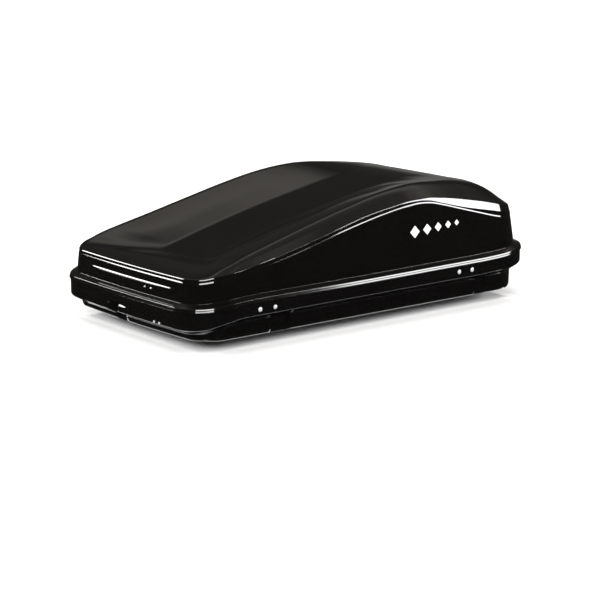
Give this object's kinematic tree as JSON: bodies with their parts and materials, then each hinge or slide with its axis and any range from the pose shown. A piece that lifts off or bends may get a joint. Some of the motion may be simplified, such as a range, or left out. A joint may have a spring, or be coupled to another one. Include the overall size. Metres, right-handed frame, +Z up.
{
  "type": "roof cargo box",
  "caption": "Long wedge-shaped roof cargo box with a hinged gloss lid, folding stays, sliding key latch and U-bolt clamps for crossbars.",
  "frame": {"origin": "centre of the tub's flat underside, where it rests on the crossbars", "axes": "+Z up, -Y towards the nose, +X towards the hinge side, -X towards the lock side"},
  "size_m": [0.8642, 1.502, 0.454],
  "materials": {
    "gloss_black_shell": "high gloss black thermoformed sheet",
    "black_tub": "gloss black thermoformed sheet",
    "seal_rubber": "matt black",
    "decal_film": "white vinyl film",
    "bright_rivet": "polished dome",
    "knob_plastic": "fine texture, dark",
    "lock_chrome": "bright plated",
    "key_nickel": "nickel plated",
    "guide_plastic": "plain moulded",
    "zinc_steel": "zinc plated"
  },
  "bodies": {
    "base": {"base_tub": "black_tub", "rim_seal": "seal_rubber", "hinge_bracket_front": "zinc_steel", "hinge_bracket_rear": "zinc_steel", "hinge_pin_front": "zinc_steel", "hinge_pin_rear": "zinc_steel", "hinge_rivets": "bright_rivet", "stay_base_rivets": "bright_rivet", "striker_rivets": "bright_rivet", "stay_base_bracket_nose": "zinc_steel", "stay_base_bracket_tail": "zinc_steel", "strikers": "zinc_steel"},
    "lid": {"lid_shell": "gloss_black_shell", "side_decal": "decal_film", "hinge_arm_front": "zinc_steel", "hinge_arm_rear": "zinc_steel", "stay_lid_rivets": "bright_rivet", "stay_lid_bracket_nose": "zinc_steel", "stay_lid_bracket_tail": "zinc_steel", "lock_housing": "lock_chrome", "lock_nut": "zinc_steel", "bar_guides": "guide_plastic"},
    "stay_lower_nose": {"stay_lower_arm_nose": "zinc_steel", "stay_knee_pin_nose": "zinc_steel"},
    "stay_upper_nose": {"stay_upper_arm_nose": "zinc_steel"},
    "stay_lower_tail": {"stay_lower_arm_tail": "zinc_steel", "stay_knee_pin_tail": "zinc_steel"},
    "stay_upper_tail": {"stay_upper_arm_tail": "zinc_steel"},
    "barrel": {"lock_barrel": "lock_chrome", "key": "key_nickel", "lock_cam": "zinc_steel"},
    "latch": {"lock_bar": "zinc_steel", "latch_hooks": "zinc_steel"},
    "clamp_front_right": {"u_bolt_front_right": "zinc_steel", "clamp_plate_front_right": "zinc_steel"},
    "knob_a_front_right": {"wing_knob_a_front_right": "knob_plastic"},
    "knob_b_front_right": {"wing_knob_b_front_right": "knob_plastic"},
    "clamp_front_left": {"u_bolt_front_left": "zinc_steel", "clamp_plate_front_left": "zinc_steel"},
    "knob_a_front_left": {"wing_knob_a_front_left": "knob_plastic"},
    "knob_b_front_left": {"wing_knob_b_front_left": "knob_plastic"},
    "clamp_rear_right": {"u_bolt_rear_right": "zinc_steel", "clamp_plate_rear_right": "zinc_steel"},
    "knob_a_rear_right": {"wing_knob_a_rear_right": "knob_plastic"},
    "knob_b_rear_right": {"wing_knob_b_rear_right": "knob_plastic"},
    "clamp_rear_left": {"u_bolt_rear_left": "zinc_steel", "clamp_plate_rear_left": "zinc_steel"},
    "knob_a_rear_left": {"wing_knob_a_rear_left": "knob_plastic"},
    "knob_b_rear_left": {"wing_knob_b_rear_left": "knob_plastic"}
  },
  "joints": [
    {"name": "lid_hinge", "type": "hinge", "parent": "base", "child": "lid", "pos_m": [0.385, 0, 0.088], "axis": [0, 1, 0], "range_deg": [0, 60]},
    {"name": "stay_lower_nose_turn", "type": "hinge", "parent": "base", "child": "stay_lower_nose", "pos_m": [0.206, -0.7025, 0.066], "axis": [0, 1, 0], "range_deg": [0, 60]},
    {"name": "stay_upper_nose_turn", "type": "hinge", "parent": "lid", "child": "stay_upper_nose", "pos_m": [0.118, -0.6985, 0.14], "axis": [0, 1, 0], "range_deg": [-60, 0]},
    {"name": "stay_lower_tail_turn", "type": "hinge", "parent": "base", "child": "stay_lower_tail", "pos_m": [0.206, 0.7025, 0.12], "axis": [0, 1, 0], "range_deg": [0, 60]},
    {"name": "stay_upper_tail_turn", "type": "hinge", "parent": "lid", "child": "stay_upper_tail", "pos_m": [0.118, 0.6985, 0.18], "axis": [0, 1, 0], "range_deg": [-60, 0]},
    {"name": "lock_turn", "type": "hinge", "parent": "lid", "child": "barrel", "pos_m": [-0.39, 0, 0.182], "axis": [1, 0, 0], "range_deg": [0, 90]},
    {"name": "latch_slide", "type": "slide", "parent": "lid", "child": "latch", "axis": [0, 1, 0], "range_m": [0, 0.02547]},
    {"name": "clamp_front_right_slide", "type": "slide", "parent": "base", "child": "clamp_front_right", "axis": [0, 1, 0], "range_m": [-0.025, 0.025]},
    {"name": "knob_a_front_right_turn", "type": "hinge", "parent": "clamp_front_right", "child": "knob_a_front_right", "pos_m": [-0.255, -0.34, 0.018], "axis": [0, 0, 1], "continuous": true},
    {"name": "knob_b_front_right_turn", "type": "hinge", "parent": "clamp_front_right", "child": "knob_b_front_right", "pos_m": [-0.255, -0.26, 0.018], "axis": [0, 0, 1], "continuous": true},
    {"name": "clamp_front_left_slide", "type": "slide", "parent": "base", "child": "clamp_front_left", "axis": [0, 1, 0], "range_m": [-0.025, 0.025]},
    {"name": "knob_a_front_left_turn", "type": "hinge", "parent": "clamp_front_left", "child": "knob_a_front_left", "pos_m": [0.255, -0.34, 0.018], "axis": [0, 0, 1], "continuous": true},
    {"name": "knob_b_front_left_turn", "type": "hinge", "parent": "clamp_front_left", "child": "knob_b_front_left", "pos_m": [0.255, -0.26, 0.018], "axis": [0, 0, 1], "continuous": true},
    {"name": "clamp_rear_right_slide", "type": "slide", "parent": "base", "child": "clamp_rear_right", "axis": [0, 1, 0], "range_m": [-0.025, 0.025]},
    {"name": "knob_a_rear_right_turn", "type": "hinge", "parent": "clamp_rear_right", "child": "knob_a_rear_right", "pos_m": [-0.255, 0.265, 0.018], "axis": [0, 0, 1], "continuous": true},
    {"name": "knob_b_rear_right_turn", "type": "hinge", "parent": "clamp_rear_right", "child": "knob_b_rear_right", "pos_m": [-0.255, 0.345, 0.018], "axis": [0, 0, 1], "continuous": true},
    {"name": "clamp_rear_left_slide", "type": "slide", "parent": "base", "child": "clamp_rear_left", "axis": [0, 1, 0], "range_m": [-0.025, 0.025]},
    {"name": "knob_a_rear_left_turn", "type": "hinge", "parent": "clamp_rear_left", "child": "knob_a_rear_left", "pos_m": [0.255, 0.265, 0.018], "axis": [0, 0, 1], "continuous": true},
    {"name": "knob_b_rear_left_turn", "type": "hinge", "parent": "clamp_rear_left", "child": "knob_b_rear_left", "pos_m": [0.255, 0.345, 0.018], "axis": [0, 0, 1], "continuous": true}
  ],
  "couplings": [
    {"joint": "stay_lower_nose_turn", "follows": "lid_hinge", "ratio": 1},
    {"joint": "stay_upper_nose_turn", "follows": "lid_hinge", "ratio": -1},
    {"joint": "stay_lower_tail_turn", "follows": "lid_hinge", "ratio": 1},
    {"joint": "stay_upper_tail_turn", "follows": "lid_hinge", "ratio": -1},
    {"joint": "latch_slide", "follows": "lock_turn", "m_per_rad": 0.016206}
  ]
}
